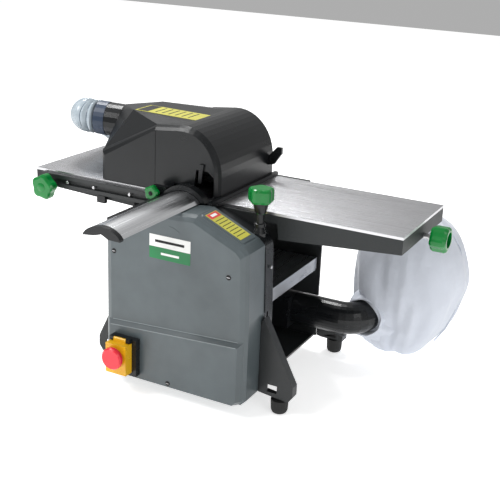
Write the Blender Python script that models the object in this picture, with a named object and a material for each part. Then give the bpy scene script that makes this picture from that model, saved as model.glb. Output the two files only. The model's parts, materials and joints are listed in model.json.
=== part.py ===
"""Bench planer and thicknesser, 204 mm wide, with a chip fan, hose and cloth bag.

Metres, +Z up. Feed runs along X, the operator stands on the -Y side. Every shape below is
written in the machine's own frame: x = 0 at the middle of the tables, y = 0 on their
centreline, z = 0 on the floor. One empty carries the whole machine, so that the model's
origin lies on the floor under the middle of its outer box.
"""

import bmesh
import bpy
from math import cos, pi, radians, sin
from mathutils import Vector

# ---------------------------------------------------------------- driving dimensions
ORIGIN_SHIFT = (-0.0217, 0.0255, 0.0)  # machine frame to model frame
GAP = 0.0003  # clearance where two pieces touch

TABLE_TOP = 0.350
TABLE_HALF_LENGTH = 0.3685
TABLE_HALF_WIDTH = 0.1085
TABLE_PLATE = 0.0045
TABLE_WALL = 0.0040
PLANING_HALF_WIDTH = 0.102

CUTTER_X = -0.020
CUTTER_CIRCLE = 0.0250
CUTTER_Z = TABLE_TOP - CUTTER_CIRCLE
BEARING_RADIUS = 0.0130
MOUTH = CUTTER_CIRCLE + 0.004  # from the cutter's axis to each table lip

PLATE_INNER = 0.1088  # inner face of both side plates, from the centreline
PLATE_THICK = 0.0040
PLATE_LEFT, PLATE_RIGHT = -0.135, 0.140
BASE_TOP = 0.038
PLATE_BOTTOM = BASE_TOP + GAP
PLATE_TOP = 0.3445

HOUSING_BACK = -PLATE_INNER - PLATE_THICK - GAP  # the belt housing's two halves
HOUSING_SEAM = -0.1415
COVER_FRONT = -0.205
COVER_LOWER_FRONT = -0.213
HOUSING_BOTTOM = 0.024

LIFT_TABLE_TOP = 0.205
CRANK = (0.124, -0.130)
LIFT = (-0.112, 0.1205)

MOTOR_X, MOTOR_Z = CUTTER_X, 0.097
MOTOR_PULLEY, CUTTER_PULLEY = 0.0220, 0.0155  # the cutter runs faster than the motor
ROLLER_REACH = 0.046  # feed rollers before and behind the cutter
ROLLER_RADIUS = 0.010
ROLLER_Z = CUTTER_Z - CUTTER_CIRCLE + ROLLER_RADIUS - 0.0005

GUARD_X = -0.023
GUARD_HALF = 0.0345
GUARD_FOOT = TABLE_TOP + 0.0015
GUARD_RISE = 0.016

OUTLET = (0.108, 0.090)  # y and z of the fan's outlet
OUTLET_RADIUS = 0.0315
ELBOW_BEND = 0.042
ELBOW_END = (0.228, 0.170)  # x and y of the elbow's mouth

HOSE_RADIUS = 0.0325
HOSE_ROUTE = (  # from the hood's cuff to the fan's cuff
    (-0.2995, -0.0079, 0.4399),
    (-0.3103, -0.0101, 0.4405),
    (-0.3225, -0.0075, 0.4405),
    (-0.3335, 0.0100, 0.4375),
    (-0.3375, 0.0360, 0.4305),
    (-0.3380, 0.0650, 0.4200),
    (-0.3370, 0.1000, 0.4030),
    (-0.3360, 0.1300, 0.3800),
    (-0.3360, 0.1490, 0.3450),
    (-0.3350, 0.1620, 0.3050),
    (-0.3310, 0.1770, 0.2600),
    (-0.3180, 0.1950, 0.2150),
    (-0.2940, 0.2130, 0.1770),
    (-0.2550, 0.2320, 0.1440),
    (-0.2020, 0.2520, 0.1190),
    (-0.1420, 0.2690, 0.1040),
    (-0.0900, 0.2730, 0.0980),
    (-0.0500, 0.2620, 0.0970),
    (-0.0270, 0.2420, 0.0970),
    (-0.0200, 0.2230, 0.0970),
    (-0.0200, 0.2080, 0.0970),
    (-0.0200, 0.1920, 0.0970),
)

# ------------------------------------------------------------------------- materials
MATERIALS = {
    "black_steel": ((0.030, 0.032, 0.034), 0.45, 0.6),
    "black_plastic": ((0.016, 0.018, 0.020), 0.40, 0.0),
    "grey_plastic": ((0.125, 0.150, 0.165), 0.42, 0.0),
    "cast_black": ((0.028, 0.032, 0.034), 0.55, 0.3),
    "aluminium": ((0.62, 0.62, 0.64), 0.28, 1.0),
    "steel": ((0.50, 0.50, 0.51), 0.32, 1.0),
    "green_plastic": ((0.0, 0.27, 0.05), 0.30, 0.0),
    "yellow_plastic": ((0.80, 0.45, 0.01), 0.35, 0.0),
    "red_plastic": ((0.75, 0.03, 0.05), 0.30, 0.0),
    "rubber": ((0.012, 0.012, 0.012), 0.80, 0.0),
    "clear_hose": ((0.55, 0.60, 0.63), 0.25, 0.0),
    "navy_plastic": ((0.020, 0.040, 0.075), 0.40, 0.0),
    "cloth": ((0.80, 0.82, 0.88), 0.90, 0.0),
}


def material(slot):
    made = bpy.data.materials.get(slot)
    if made is None:
        made = bpy.data.materials.new(slot)
        made.use_nodes = True
        colour, roughness, metallic = MATERIALS[slot]
        shader = made.node_tree.nodes["Principled BSDF"]
        shader.inputs["Base Color"].default_value = (*colour, 1)
        shader.inputs["Roughness"].default_value = roughness
        shader.inputs["Metallic"].default_value = metallic
    return made


# ------------------------------------------------------------------- modelling tools
for old in list(bpy.data.objects):
    bpy.data.objects.remove(old)

machine = bpy.data.objects.new("machine", None)
machine.location = ORIGIN_SHIFT
bpy.context.scene.collection.objects.link(machine)


def add(name, points, faces, slot, pivot=(0, 0, 0)):
    """A mesh object whose origin is pivot, with its faces turned outwards."""
    mesh = bpy.data.meshes.new(name)
    mesh.from_pydata([Vector(p) - Vector(pivot) for p in points], [], faces)
    bm = bmesh.new()
    bm.from_mesh(mesh)
    bmesh.ops.remove_doubles(bm, verts=bm.verts, dist=1e-6)
    bmesh.ops.recalc_face_normals(bm, faces=bm.faces)
    bm.to_mesh(mesh)
    bm.free()
    mesh.shade_smooth()
    mesh.set_sharp_from_angle(angle=radians(35))
    mesh.materials.append(material(slot))
    made = bpy.data.objects.new(name, mesh)
    made.parent = machine
    made.location = pivot
    bpy.context.scene.collection.objects.link(made)
    return made


def loft(name, rings, slot="black_steel", pivot=(0, 0, 0), closed=False):
    """Rings joined by side faces: open ends are capped, closed joins the last to the first."""
    count = len(rings[0])
    points = [p for ring in rings for p in ring]
    faces = []
    for i in range(len(rings) if closed else len(rings) - 1):
        a, b = i * count, (i + 1) % len(rings) * count
        for j in range(count):
            k = (j + 1) % count
            faces.append((a + j, a + k, b + k, b + j))
    if not closed:
        faces.append(tuple(range(count)))
        faces.append(tuple(range(len(points) - count, len(points))))
    return add(name, points, faces, slot, pivot)


def box(name, low, high, slot="black_steel", pivot=(0, 0, 0)):
    (x0, y0, z0), (x1, y1, z1) = low, high
    rings = [[(x0, y0, z), (x1, y0, z), (x1, y1, z), (x0, y1, z)] for z in (z0, z1)]
    return loft(name, rings, slot, pivot)


def slab(name, outline, y0, y1, slot="black_steel", pivot=(0, 0, 0)):
    """An outline in x and z, extruded from y0 to y1."""
    rings = [[(x, y, z) for x, z in outline] for y in (y0, y1)]
    return loft(name, rings, slot, pivot)


def turned(name, start, axis, profile, slot, sides=24, pivot=(0, 0, 0), lobes=0, depth=0.0):
    """A profile of (distance along the axis, radius), turned round it; lobes waves its rim."""
    along = Vector(axis).normalized()
    side = along.orthogonal().normalized()
    up = along.cross(side)
    rings = []
    for reach, radius in profile:
        centre = Vector(start) + along * reach
        ring = []
        for i in range(sides):
            t = 2 * pi * i / sides
            r = radius * (1 + depth * cos(lobes * t)) if lobes else radius
            ring.append(centre + side * (r * cos(t)) + up * (r * sin(t)))
        rings.append(ring)
    return loft(name, rings, slot, pivot)


def pipe(name, line, outer, inner, slot, sides=24):
    """A hollow tube along a line of points, open at both ends."""
    rings_out, rings_in = [], []
    line = [Vector(p) for p in line]
    for i, p in enumerate(line):
        along = (line[min(i + 1, len(line) - 1)] - line[max(i - 1, 0)]).normalized()
        side = along.cross(Vector((0, 0, 1))).normalized()
        up = side.cross(along)
        turn = [(cos(2 * pi * j / sides), sin(2 * pi * j / sides)) for j in range(sides)]
        rings_out.append([p + (side * c + up * s) * outer for c, s in turn])
        rings_in.append([p + (side * c + up * s) * inner for c, s in turn])
    return loft(name, rings_out + rings_in[::-1], slot, closed=True)


def hull(name, points, slot="black_plastic"):
    bm = bmesh.new()
    for p in points:
        bm.verts.new(p)
    found = bmesh.ops.convex_hull(bm, input=bm.verts)
    inside = [e for e in found["geom_interior"] if isinstance(e, bmesh.types.BMVert)]
    bmesh.ops.delete(bm, geom=inside, context="VERTS")
    bm.verts.index_update()
    corners = [v.co.copy() for v in bm.verts]
    faces = [tuple(v.index for v in f.verts) for f in bm.faces]
    bm.free()
    return add(name, corners, faces, slot)


def combine(target, tool, operation):
    """A Boolean modifier whose tool is hidden from the render."""
    tool.hide_render = True
    tool.display_type = "WIRE"
    tool.name = f"tool_{tool.name}"
    step = target.modifiers.new(tool.name, "BOOLEAN")
    step.operation = operation
    step.solver = "EXACT"
    step.object = tool
    return target


def cut(target, *tools):
    for tool in tools:
        combine(target, tool, "DIFFERENCE")
    return target


def unite(target, *tools):
    for tool in tools:
        combine(target, tool, "UNION")
    return target


def hole(x, y0, y1, z, radius, sides=24):
    """A cutter along Y."""
    return turned("hole", (x, y0, z), (0, 1, 0), [(0, radius), (y1 - y0, radius)], "steel", sides)


def inset(outline, distance):
    """The outline, listed anticlockwise, moved inwards by a distance."""
    moved = []
    count = len(outline)
    for i, p in enumerate(outline):
        a, b = outline[i - 1], outline[(i + 1) % count]
        u = Vector((p[0] - a[0], p[1] - a[1])).normalized()
        v = Vector((b[0] - p[0], b[1] - p[1])).normalized()
        bisector = Vector((-u.y - v.y, u.x + v.x))
        scale = distance * 2 / bisector.length_squared
        moved.append((p[0] + bisector.x * scale, p[1] + bisector.y * scale))
    return moved


def shrunk(outline, distance):
    """The outline scaled towards the middle of its box, so that each side moves in by a distance."""
    xs, zs = zip(*outline)
    moved = []
    for x, z in outline:
        u = (x - min(xs)) / (max(xs) - min(xs)) * 2 - 1
        v = (z - min(zs)) / (max(zs) - min(zs)) * 2 - 1
        moved.append((x - u * distance, z - v * distance))
    return moved


def arc(centre, radii, start, end, steps):
    """Points on an ellipse, from one angle to another in degrees."""
    for i in range(steps + 1):
        t = radians(start + (end - start) * i / steps)
        yield (centre[0] + radii[0] * cos(t), centre[1] + radii[1] * sin(t))


def wrap(circles, sides=28):
    """The loop that a belt takes round circles of (x, z, radius): their convex outline."""
    points = sorted(
        (x + r * cos(2 * pi * i / sides), z + r * sin(2 * pi * i / sides))
        for x, z, r in circles
        for i in range(sides)
    )

    def half(run):
        kept = []
        for p in run:
            while len(kept) > 1:
                (ax, az), (bx, bz) = kept[-2], kept[-1]
                if (bx - ax) * (p[1] - az) - (bz - az) * (p[0] - ax) > 1e-12:
                    break
                kept.pop()
            kept.append(p)
        return kept[:-1]

    return half(points) + half(points[::-1])


def smooth_line(points, steps):
    """A Catmull-Rom curve through the points, with so many steps between each pair."""
    line = []
    ends = [points[0], *points, points[-1]]
    for i in range(len(points) - 1):
        a, b, c, d = (Vector(p) for p in ends[i : i + 4])
        for s in range(steps):
            t = s / steps
            line.append(
                0.5 * (2 * b + (c - a) * t + (2 * a - 5 * b + 4 * c - d) * t**2
                       + (3 * b - a - 3 * c + d) * t**3)
            )
    return [*line, Vector(points[-1])]


# ------------------------------------------------------------------------- the frame
def base_plate():
    plate = box("base_plate", (-0.1335, HOUSING_SEAM + 0.003, BASE_TOP - 0.004), (0.1335, 0.1265, BASE_TOP))
    for x, y in (CRANK, LIFT):
        cut(plate, turned("screw_foot", (x, y, 0.02), (0, 0, 1), [(0, 0.0055), (0.03, 0.0055)], "steel"))
    return plate


def side_plate(name, y0):
    rail = 0.3205  # the plate is lower where the fence rail runs
    outline = [(PLATE_LEFT, PLATE_BOTTOM), (PLATE_RIGHT, PLATE_BOTTOM), (PLATE_RIGHT, 0.300),
               (PLATE_RIGHT - 0.030, PLATE_TOP), (CUTTER_X - 0.025, PLATE_TOP), (CUTTER_X - 0.033, rail),
               (PLATE_LEFT + 0.015, rail), (PLATE_LEFT, 0.305)]
    y1 = y0 + PLATE_THICK
    plate = slab(name, outline, y0, y1)
    cut(plate, hole(CUTTER_X, y0 - 0.01, y1 + 0.01, CUTTER_Z, BEARING_RADIUS + GAP))
    for side in (-1, 1):
        cut(plate, hole(CUTTER_X + side * ROLLER_REACH, y0 - 0.01, y1 + 0.01, ROLLER_Z, 0.0058, 16))
    return plate


def side_plate_front():
    plate = side_plate("side_plate_front", -PLATE_INNER - PLATE_THICK)
    y0, y1 = -PLATE_INNER - 0.010, -PLATE_INNER + 0.006
    cut(plate, hole(MOTOR_X, y0, y1, MOTOR_Z, 0.0110))
    cut(plate, box("chain_notch", (0.084, y0, 0.02), (0.128, y1, 0.054)))
    return cut(plate, box("lug_slot", (CRANK[0] - 0.0085, y0, 0.150), (CRANK[0] + 0.0085, y1, 0.302)))


def side_plate_rear():
    plate = side_plate("side_plate_rear", PLATE_INNER)
    y0, y1 = PLATE_INNER - 0.006, PLATE_INNER + 0.010
    cut(plate, hole(MOTOR_X, y0, y1, MOTOR_Z, 0.0535, 32))
    cut(plate, box("outlet_gap", (MOTOR_X, y0, OUTLET[1] - 0.034), (0.16, y1, OUTLET[1] + 0.034)))
    cut(plate, box("chain_notch", (-0.124, y0, 0.02), (-0.082, y1, 0.054)))
    return cut(plate, box("lug_slot", (LIFT[0] - 0.0085, y0, 0.150), (LIFT[0] + 0.0085, y1, 0.302)))


def rear_cover():
    y0, y1 = PLATE_INNER + PLATE_THICK + GAP, 0.1365
    outline = [(-0.130, 0.158), (0.118, 0.158), (0.118, 0.305), (0.095, 0.3445), (-0.105, 0.3445),
               (-0.130, 0.305)]
    cover = slab("rear_cover", outline, y0, y1, "black_plastic")
    return cut(cover, slab("inside", inset(outline, 0.0025), y0 - 0.01, y1 - 0.0025),
               box("screw_way", (LIFT[0] - 0.0075, y0 - 0.01, 0.15), (LIFT[0] + 0.0075, 0.1300, 0.17)))


def front_leg(name, side, tip, root, top):
    """A folded gusset under the belt housing: a web with a square hole and a sloping flange."""
    y0, y1 = -0.1525, -0.1345
    foot = tip - side * 0.008
    outline = [(root, 0.034), (foot, 0.0275), (tip, 0.039), (tip, 0.058), (root + side * 0.005, top + 0.008),
               (root, top)]
    if side < 0:
        outline = outline[::-1]
    leg = slab(name, outline, y0, y1)
    inner = inset(outline, 0.003)
    cut(leg, slab("hollow", inner, y0 + 0.003, y1 + 0.01))
    hole_x = root + side * 0.0265
    return cut(leg, box("window", (hole_x - 0.0095, y0 - 0.01, 0.0385), (hole_x + 0.0095, y0 + 0.01, 0.053)))


def rear_leg(name, side, root, tip):
    outline = [(root, 0.0315), (root + side * 0.010, 0.0295), (tip, 0.0295), (tip, 0.040),
               (root + side * 0.020, 0.052), (root, 0.052)]
    if side < 0:
        outline = outline[::-1]
    y0, y1 = 0.1270, 0.1505
    leg = slab(name, outline, y0, y1)
    mid = (root + tip) / 2
    window = [(mid - 0.014, 0.034), (mid + 0.014, 0.034), (mid + side * 0.014, 0.043)]
    return cut(leg, slab("window", window, y0 - 0.01, y1 + 0.01))


def rubber_foot(name, x, y, top):
    profile = [(0, 0.0090), (0.0025, 0.0130), (0.0070, 0.0150), (top - GAP, 0.0160)]
    return turned(name, (x, y, 0), (0, 0, 1), profile, "rubber", 20)


def legs_and_feet():
    front_leg("leg_front_right", 1, 0.2125, 0.1465, 0.166)
    front_leg("leg_front_left", -1, -0.1940, -0.1425, 0.150)
    rear_leg("leg_rear_right", 1, 0.1345, 0.1905)
    rear_leg("leg_rear_left", -1, -0.1345, -0.1905)
    rubber_foot("foot_front_right", 0.1850, -0.1430, 0.0265)
    rubber_foot("foot_front_left", -0.1680, -0.1430, 0.0265)
    rubber_foot("foot_rear_right", 0.1700, 0.1390, 0.0292)
    rubber_foot("foot_rear_left", -0.1700, 0.1390, 0.0292)


# ------------------------------------------------------------ the belt side's housing
HOUSING_OUTLINE = [
    (-0.136, HOUSING_BOTTOM), (0.1355, HOUSING_BOTTOM), (0.1455, HOUSING_BOTTOM + 0.010), (0.1455, 0.180),
    (0.1415, 0.302), (0.1300, 0.3130), (0.0425, 0.3515), (0.030, 0.3515), (0.012, 0.3495), (-0.046, 0.3495),
    (-0.070, 0.3420),
    (-0.118, 0.3180), (-0.141, 0.2900), (-0.141, HOUSING_BOTTOM + 0.005),
]


def inner_housing():
    outline = [(-0.136, HOUSING_BOTTOM), (0.1350, HOUSING_BOTTOM), (0.1475, HOUSING_BOTTOM + 0.0125),
               (0.1475, 0.180)]
    outline += arc((0.1195, 0.289), (0.024, 0.030), 0, 90, 8)
    outline += [(0.070, 0.336), (0.024, 0.3475), (-0.045, 0.3475), (-0.052, 0.293), (-0.141, 0.288),
                (-0.141, HOUSING_BOTTOM + 0.005)]
    housing = slab("inner_housing", outline, HOUSING_SEAM, HOUSING_BACK, "black_plastic")
    x, y = CRANK
    column = turned("column", (x, y, 0.300), (0, 0, 1),
                    [(0, 0.0110), (0.018, 0.0110), (0.028, 0.0075), (0.052, 0.0070)], "steel", 20)
    unite(housing, column)
    inside = slab("inside", inset(outline, 0.003), HOUSING_SEAM - 0.01, HOUSING_BACK + 0.01)
    cut(housing, inside)
    bore = turned("bore", (x, y, 0.28), (0, 0, 1), [(0, 0.0055), (0.09, 0.0055)], "steel", 16)
    cut(housing, bore)
    return cut(housing, box("leg_seat", (0.1460, -0.16, 0.03), (0.1490, -0.13, 0.18)))


def belt_cover():
    back = HOUSING_SEAM - GAP
    band_low, band_high = 0.137, 0.152
    upper = slab("belt_cover", HOUSING_OUTLINE, back, COVER_FRONT + 0.010, "grey_plastic")
    rings = [[(x, y, z) for x, z in shrunk(HOUSING_OUTLINE, d)]
             for y, d in ((COVER_FRONT + 0.012, 0.0), (COVER_FRONT + 0.008, 0.0),
                          (COVER_FRONT + 0.003, 0.005), (COVER_FRONT, 0.013))]
    unite(upper, loft("face", rings))
    lower = [(-0.136, HOUSING_BOTTOM), (0.1355, HOUSING_BOTTOM), (0.1455, HOUSING_BOTTOM + 0.010),
             (0.1455, band_high),
             (-0.141, band_high - 0.016), (-0.141, HOUSING_BOTTOM + 0.005)]
    proud = [(-0.126, 0.0275), (0.1260, 0.0275), (0.1330, 0.0345), (0.1330, band_low),
             (-0.126, band_low - 0.016)]
    face = hull("lower_face", [(x, COVER_FRONT + 0.013, z) for x, z in lower]
                + [(x, COVER_LOWER_FRONT, z) for x, z in proud])
    unite(upper, face)
    hollow = [[(x, y, z) for x, z in shrunk(HOUSING_OUTLINE, d)]
              for y, d in ((back + 0.01, 0.003), (COVER_FRONT + 0.010, 0.004), (COVER_FRONT + 0.003, 0.014))]
    cut(upper, loft("inside", hollow))
    return cut(upper, box("lower_inside", (-0.122, COVER_LOWER_FRONT + 0.003, 0.040),
                          (0.129, COVER_FRONT + 0.02, 0.118)))


def switch():
    back = COVER_LOWER_FRONT - GAP
    front = back - 0.012
    x0, x1, z0, z1 = -0.1155, -0.0615, 0.036, 0.1065
    middle = -0.0915
    base = box("switch_base", (x0, front, z0), (x1, back, z1), "black_plastic")
    for lug in (-0.1130, -0.0785):
        unite(base, box("lug", (lug, front - 0.0075, 0.1015), (lug + 0.0075, front + 0.002, 0.1085)))
    cut(base, hole(middle, front - 0.001, front + 0.009, 0.090, 0.0063, 16))
    face = front - GAP
    lid_front = face - 0.019
    lid = box("switch_lid", (-0.1130, lid_front, 0.0430), (-0.0705, face, 0.0997), "yellow_plastic")
    cut(lid, box("lid_inside", (-0.1110, lid_front + 0.002, 0.0450), (-0.0725, face + 0.01, 0.0977)),
        hole(middle, lid_front - 0.01, lid_front + 0.01, 0.0775, 0.0083, 16))
    barrel = turned("barrel", (-0.1050, front - 0.0040, 0.1045), (1, 0, 0), [(0, 0.0032), (0.0260, 0.0032)],
                    "steel", 14)
    unite(lid, barrel, box("lid_tab", (-0.1050, front - 0.0070, 0.0970), (-0.0790, front - 0.0010, 0.1040)))
    stop = [(0, 0.0080), (0.0135, 0.0080), (0.0137, 0.0190), (0.0165, 0.0205), (0.0215, 0.0205),
            (0.0245, 0.0180)]
    turned("stop_button", (middle, lid_front + 0.0085, 0.0775), (0, -1, 0), stop, "red_plastic", 28)
    turned("start_button", (middle, front + 0.0050, 0.090), (0, -1, 0), [(0, 0.0060), (0.0105, 0.0060)],
           "green_plastic", 16)


# ------------------------------------------------------------------------ the tables
def table(name, x0, x1, depths, step):
    """An aluminium top on a ribbed black frame. depths gives the frame's underside at each x."""
    top = box(f"{name}_top", (x0, -TABLE_HALF_WIDTH, TABLE_TOP - TABLE_PLATE),
              (x1, TABLE_HALF_WIDTH, TABLE_TOP), "aluminium")
    deck = TABLE_TOP - TABLE_PLATE - GAP
    outline = [*depths, (depths[-1][0], deck), (depths[0][0], deck)]
    frame = slab(f"{name}_frame", outline, -TABLE_HALF_WIDTH, TABLE_HALF_WIDTH, "cast_black")
    wall = TABLE_WALL
    outer = x0 if step < 0 else x1  # only the deep end, outside the body, is hollow below
    a, b = sorted((outer, step))
    cut(frame, box("under", (a + wall, -TABLE_HALF_WIDTH + wall, 0.25),
                   (b - wall, TABLE_HALF_WIDTH - wall, deck - wall)))
    return top, frame


def tables():
    left_lip, right_lip = CUTTER_X - MOUTH, CUTTER_X + MOUTH
    shallow = 0.3315
    table("outfeed_table", -TABLE_HALF_LENGTH, left_lip,
          [(-TABLE_HALF_LENGTH, 0.320), (-0.145, 0.3105), (-0.142, shallow), (left_lip, shallow)], -0.150)
    table("infeed_table", right_lip, TABLE_HALF_LENGTH,
          [(right_lip, shallow), (0.146, shallow), (0.149, 0.3035), (TABLE_HALF_LENGTH, 0.320)], 0.160)
    y1 = -TABLE_HALF_WIDTH - GAP
    rail = box("fence_rail", (-0.3500, y1 - 0.0090, 0.3220), (-0.0600, y1, 0.3455), "black_steel")
    cut(rail, box("groove", (-0.36, y1 - 0.0110, 0.3290), (-0.05, y1 - 0.0030, 0.3385)))
    # the rail's foot widens where the cutter guard is clamped
    unite(rail, box("clamp_foot", (-0.0870, y1 - 0.0125, 0.3220), (-0.0660, y1 - 0.0020, 0.3455)))


def star_knob(name, start, axis, reach, radius, slot="green_plastic", neck=None, bore=0.0, sides=40):
    """A five-lobed knob; neck is (length, radius) on its inner side, bore a blind hole in its face."""
    profile = []
    base = 0.0
    if neck:
        profile += [(0, neck[1]), (neck[0], neck[1])]
        base = neck[0] + 0.0002
    profile += [(base, radius * 0.86), (base + reach * 0.15, radius * 0.97),
                (base + reach * 0.80, radius * 0.97),
                (base + reach * 0.95, radius * 0.88), (base + reach, radius * 0.76)]
    knob = turned(name, start, axis, profile, slot, sides, pivot=start, lobes=5, depth=0.085)
    if bore:
        along = Vector(axis)
        mouth = Vector(start) + along * (base + reach + 0.002)
        cut(knob, turned("knob_bore", mouth, -along, [(0, radius * bore), (reach * 0.7, radius * bore)],
                         slot, 20))
    return knob


def knobs():
    star_knob("fence_knob", (-0.3260, -0.1235, 0.3255), (0, -1, 0), 0.020, 0.0235, neck=(0.0060, 0.0110))
    y, z = 0.006, 0.3215
    turned("infeed_depth_screw", (0.3090, y, z), (1, 0, 0),
           [(0, 0.0050), (0.0690, 0.0050), (0.0692, 0.0085), (0.0735, 0.0085)], "steel", 16,
           pivot=(0.3685, y, z))
    frame = bpy.data.objects["infeed_table_frame"]
    cut(frame, turned("screw_way", (0.30, y, z), (1, 0, 0), [(0, 0.0053), (0.10, 0.0053)], "steel", 16))
    star_knob("infeed_depth_knob", (0.3828, y, z), (1, 0, 0), 0.0290, 0.0225, bore=0.62)
    star_knob("guard_lock_knob", (-0.0820, -0.1352, 0.3560), (0, -1, 0), 0.0100, 0.0135,
              neck=(0.0050, 0.0070))


# --------------------------------------------------------------- guard over the cutter
def guard_arch(lift, spread, steps=16):
    """The arched section, moved out by a distance; from its left foot to its right one."""
    half = GUARD_HALF + spread
    rise = GUARD_RISE + lift
    for i in range(steps + 1):
        u = -1 + 2 * i / steps
        yield (GUARD_X + half * u, GUARD_FOOT + rise * (1 - u * u) ** 0.75)


def guard():
    thick = 0.0030
    upper = list(guard_arch(0, 0))
    lower = list(guard_arch(-thick, -thick))
    slab("guard_bridge", upper + lower[::-1], -0.3660, -0.0600, "aluminium")
    cap = [*upper, (GUARD_X + GUARD_HALF, GUARD_FOOT - 0.003), (GUARD_X + 0.012, GUARD_FOOT - 0.0025),
           (GUARD_X, GUARD_FOOT + 0.0035), (GUARD_X - 0.014, GUARD_FOOT - 0.0005),
           (GUARD_X - GUARD_HALF, GUARD_FOOT - 0.003)]
    slab("guard_end_cap", cap, -0.3760, -0.3660 - GAP, "black_plastic")
    collar_out = list(guard_arch(0.0095, 0.0095))
    collar_in = list(guard_arch(0.0006, 0.0006))
    arm = slab("guard_arm", collar_out + collar_in[::-1], -0.1380, -0.1215, "black_plastic")
    left = GUARD_X - GUARD_HALF
    unite(arm,
          box("post", (-0.0900, -0.1345, 0.2960), (left - 0.0030, -0.1220, 0.3660)),
          box("side_rail", (left - 0.0095, -0.3000, GUARD_FOOT - 0.0040),
              (left - 0.0010, -0.1300, GUARD_FOOT + 0.0030)))
    cut(arm, box("slot", (-0.0850, -0.1400, 0.3015), (-0.0790, -0.1100, 0.3450)))


# ------------------------------------------------------------------- the dust hood
HOOD_LEFT, HOOD_RIGHT = -0.2195, 0.031
PORT_START = Vector((-0.2420, 0.0040, 0.4370))
PORT_END = Vector((-0.2735, -0.0025, 0.4386))


def hood_profile(shrink=0.0):
    nose = (-0.045, TABLE_TOP + 0.040)
    return [(HOOD_LEFT + shrink, TABLE_TOP + GAP), (HOOD_RIGHT - shrink, TABLE_TOP + GAP),
            *arc(nose, (0.076 - shrink, 0.083 - shrink), 0, 95, 12),
            (-0.101, TABLE_TOP + 0.1175 - shrink), (HOOD_LEFT + shrink, TABLE_TOP + 0.056 - shrink)]


def port_ring(centre, radius, sides=20):
    along = (PORT_END - PORT_START).normalized()
    side = along.cross(Vector((0, 0, 1))).normalized()
    up = side.cross(along)
    return [centre + (side * cos(2 * pi * i / sides) + up * sin(2 * pi * i / sides)) * radius
            for i in range(sides)]


def chute(name, shrink=0.0):
    """The facets that narrow from the hood's left shoulder to the round port."""
    half = TABLE_HALF_WIDTH - 0.0100 - shrink
    low, high = TABLE_TOP + 0.0555 - shrink, TABLE_TOP + 0.1165 - shrink
    roof = TABLE_TOP + 0.1250 - shrink
    points = [*port_ring(PORT_START, 0.0330 - shrink)]
    for y in (-half, half):
        points += [(HOOD_LEFT + shrink + 0.001, y, low), (-0.101, y, high), (-0.101, y, low)]
    points += [(-0.186, y, roof) for y in (-0.050, 0.050)]
    points += [(-0.050, y, roof - 0.0030) for y in (-0.070, 0.070)]
    return hull(name, points)


def dust_hood():
    half = TABLE_HALF_WIDTH
    rings = [[(x, y, z) for x, z in hood_profile(s)] for y, s in
             ((-half, 0.009), (-half + 0.003, 0.0035), (-half + 0.009, 0.0), (half - 0.009, 0.0),
              (half - 0.003, 0.0035), (half, 0.009))]
    for ring in rings:
        for i in (0, 1):
            ring[i] = (ring[i][0], ring[i][1], TABLE_TOP + GAP)
    hood = loft("dust_hood", rings, "black_plastic")
    collar = loft("collar", [port_ring(PORT_START.lerp(PORT_END, t), 0.0320) for t in (-0.6, 1)])
    unite(hood, chute("chute"), collar)
    bar_z = TABLE_TOP + GAP
    unite(hood, box("bar", (0.0285, -0.1412, bar_z), (0.0365, 0.1160, bar_z + 0.0065)))
    wall = 0.0030
    inner = [[(x, y, z) for x, z in hood_profile(s)] for y, s in
             ((-half + wall, 0.011), (-half + 0.010, wall), (half - 0.010, wall), (half - wall, 0.011))]
    for ring in inner:
        for i in (0, 1):
            ring[i] = (ring[i][0], ring[i][1], TABLE_TOP - 0.01)
    bore = loft("bore", [port_ring(PORT_START.lerp(PORT_END, t), 0.0290) for t in (-0.9, 1.3)])
    cut(hood, unite(loft("inside", inner), chute("chute_inside", wall), bore))
    # the cutter guard passes through the front wall, lower on its left than on its right
    low, step, high = 0.340, 0.3690, 0.4000
    opening = [(-0.0605, low), (0.0205, low), (0.0205, 0.3900), (0.0080, high), (-0.0150, high),
               (-0.0190, step), (-0.0605, step)]
    cut(hood, slab("opening", opening, -half - 0.01, -half + 0.01))
    latch = [(-0.0090, 0.3780), (-0.0030, 0.3780), (0.0015, 0.4120), (-0.0070, 0.4120)]
    y0 = -half - GAP
    slab("hood_latch", latch, y0 - 0.0035, y0, "black_plastic")


# ------------------------------------------------------------------ hose, elbow, bag
def hose():
    end = PORT_END + (PORT_END - PORT_START).normalized() * 0.0006
    start = Vector(HOSE_ROUTE[0])
    away = (start - end).normalized()
    pipe("hose_cuff_hood", [end, start - away * 0.0045], 0.0325, 0.0290, "navy_plastic")
    curve = bpy.data.curves.new("dust_hose", "CURVE")
    curve.dimensions = "3D"
    curve.bevel_depth = HOSE_RADIUS
    curve.bevel_resolution = 3
    curve.use_fill_caps = True
    line = smooth_line(HOSE_ROUTE, 2)
    spline = curve.splines.new("POLY")
    spline.points.add(len(line) - 1)
    for point, place in zip(spline.points, line):
        point.co = (*place, 1)
    curve.materials.append(material("clear_hose"))
    made = bpy.data.objects.new("dust_hose", curve)
    made.parent = machine
    bpy.context.scene.collection.objects.link(made)
    x, y, z = HOSE_ROUTE[-1]
    pipe("hose_cuff_fan", [(x, y - 0.0020, z), (x, 0.1553, z)], 0.0325, 0.0290, "navy_plastic")


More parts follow.
